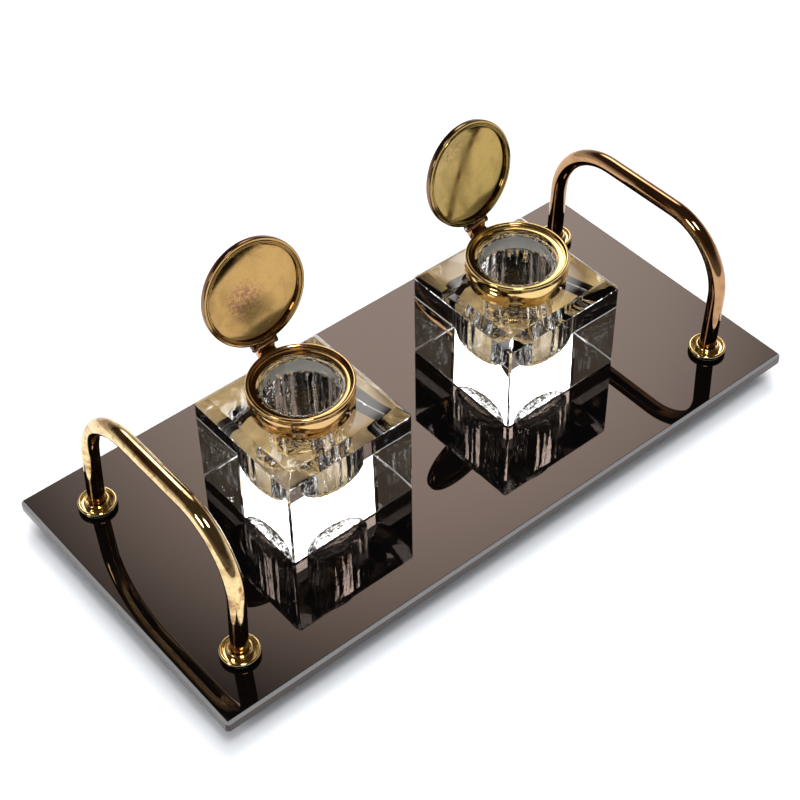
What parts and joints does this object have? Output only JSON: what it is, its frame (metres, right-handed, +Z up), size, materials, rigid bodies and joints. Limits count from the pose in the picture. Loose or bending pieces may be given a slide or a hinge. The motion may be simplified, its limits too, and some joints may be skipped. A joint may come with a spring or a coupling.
{
  "type": "inkwell",
  "caption": "Desk inkstand: black glass plate on feet with two brass rod handles, carrying lift-off square glass inkwells with hinged domed brass lids.",
  "frame": {"origin": "on the desk under the middle of the plate", "axes": "+X along the plate to the right-hand handle, +Y to the back where the lids are hinged, +Z up"},
  "size_m": [0.3048, 0.146, 0.1239],
  "materials": {
    "black_glass": "polished opaque black plate glass",
    "crystal": "clear polished pressed crystal, ribbed inside",
    "brass_rod": "polished, lightly worn",
    "brass_turned": "polished, turned",
    "brass_collar": "polished, lightly tarnished",
    "brass_lid": "aged, scratched and spotted inside",
    "cement": "plaster cement",
    "felt": "dark felt",
    "leather": "thin leather washer",
    "steel": "bright drawn pin"
  },
  "bodies": {
    "stand": {"base_plate": "black_glass", "handle_left": "brass_rod", "handle_right": "brass_rod", "rosette_left_front": "brass_turned", "soft_washer_left_front": "felt", "plate_washer_left_front": "leather", "foot_nut_left_front": "brass_turned", "foot_pad_left_front": "felt", "rosette_left_back": "brass_turned", "soft_washer_left_back": "felt", "plate_washer_left_back": "leather", "foot_nut_left_back": "brass_turned", "foot_pad_left_back": "felt", "rosette_right_front": "brass_turned", "soft_washer_right_front": "felt", "plate_washer_right_front": "leather", "foot_nut_right_front": "brass_turned", "foot_pad_right_front": "felt", "rosette_right_back": "brass_turned", "soft_washer_right_back": "felt", "plate_washer_right_back": "leather", "foot_nut_right_back": "brass_turned", "foot_pad_right_back": "felt"},
    "inkwell_left": {"glass_block_left": "crystal", "collar_left": "brass_collar", "collar_cement_left": "cement", "hinge_lug_left": "brass_collar", "hinge_pin_left": "steel"},
    "lid_left": {"lid_left": "brass_lid", "lid_bezel_left": "brass_lid", "lid_leaf_left": "brass_lid"},
    "inkwell_right": {"glass_block_right": "crystal", "collar_right": "brass_collar", "collar_cement_right": "cement", "hinge_lug_right": "brass_collar", "hinge_pin_right": "steel"},
    "lid_right": {"lid_right": "brass_lid", "lid_bezel_right": "brass_lid", "lid_leaf_right": "brass_lid"}
  },
  "joints": [
    {"name": "inkwell_left_lift", "type": "slide", "parent": "stand", "child": "inkwell_left", "axis": [0, 0, 1], "range_m": [0, 0.08]},
    {"name": "lid_left_hinge", "type": "hinge", "parent": "inkwell_left", "child": "lid_left", "pos_m": [-0.0545, 0.02768, 0.07645], "axis": [0.9992, -0.0401, 0], "range_deg": [0, 101.6]},
    {"name": "inkwell_right_lift", "type": "slide", "parent": "stand", "child": "inkwell_right", "axis": [0, 0, 1], "range_m": [0, 0.08]},
    {"name": "lid_right_hinge", "type": "hinge", "parent": "inkwell_right", "child": "lid_right", "pos_m": [0.05905, 0.02817, 0.07645], "axis": [0.9987, 0.0506, 0], "range_deg": [0, 101.6]}
  ]
}
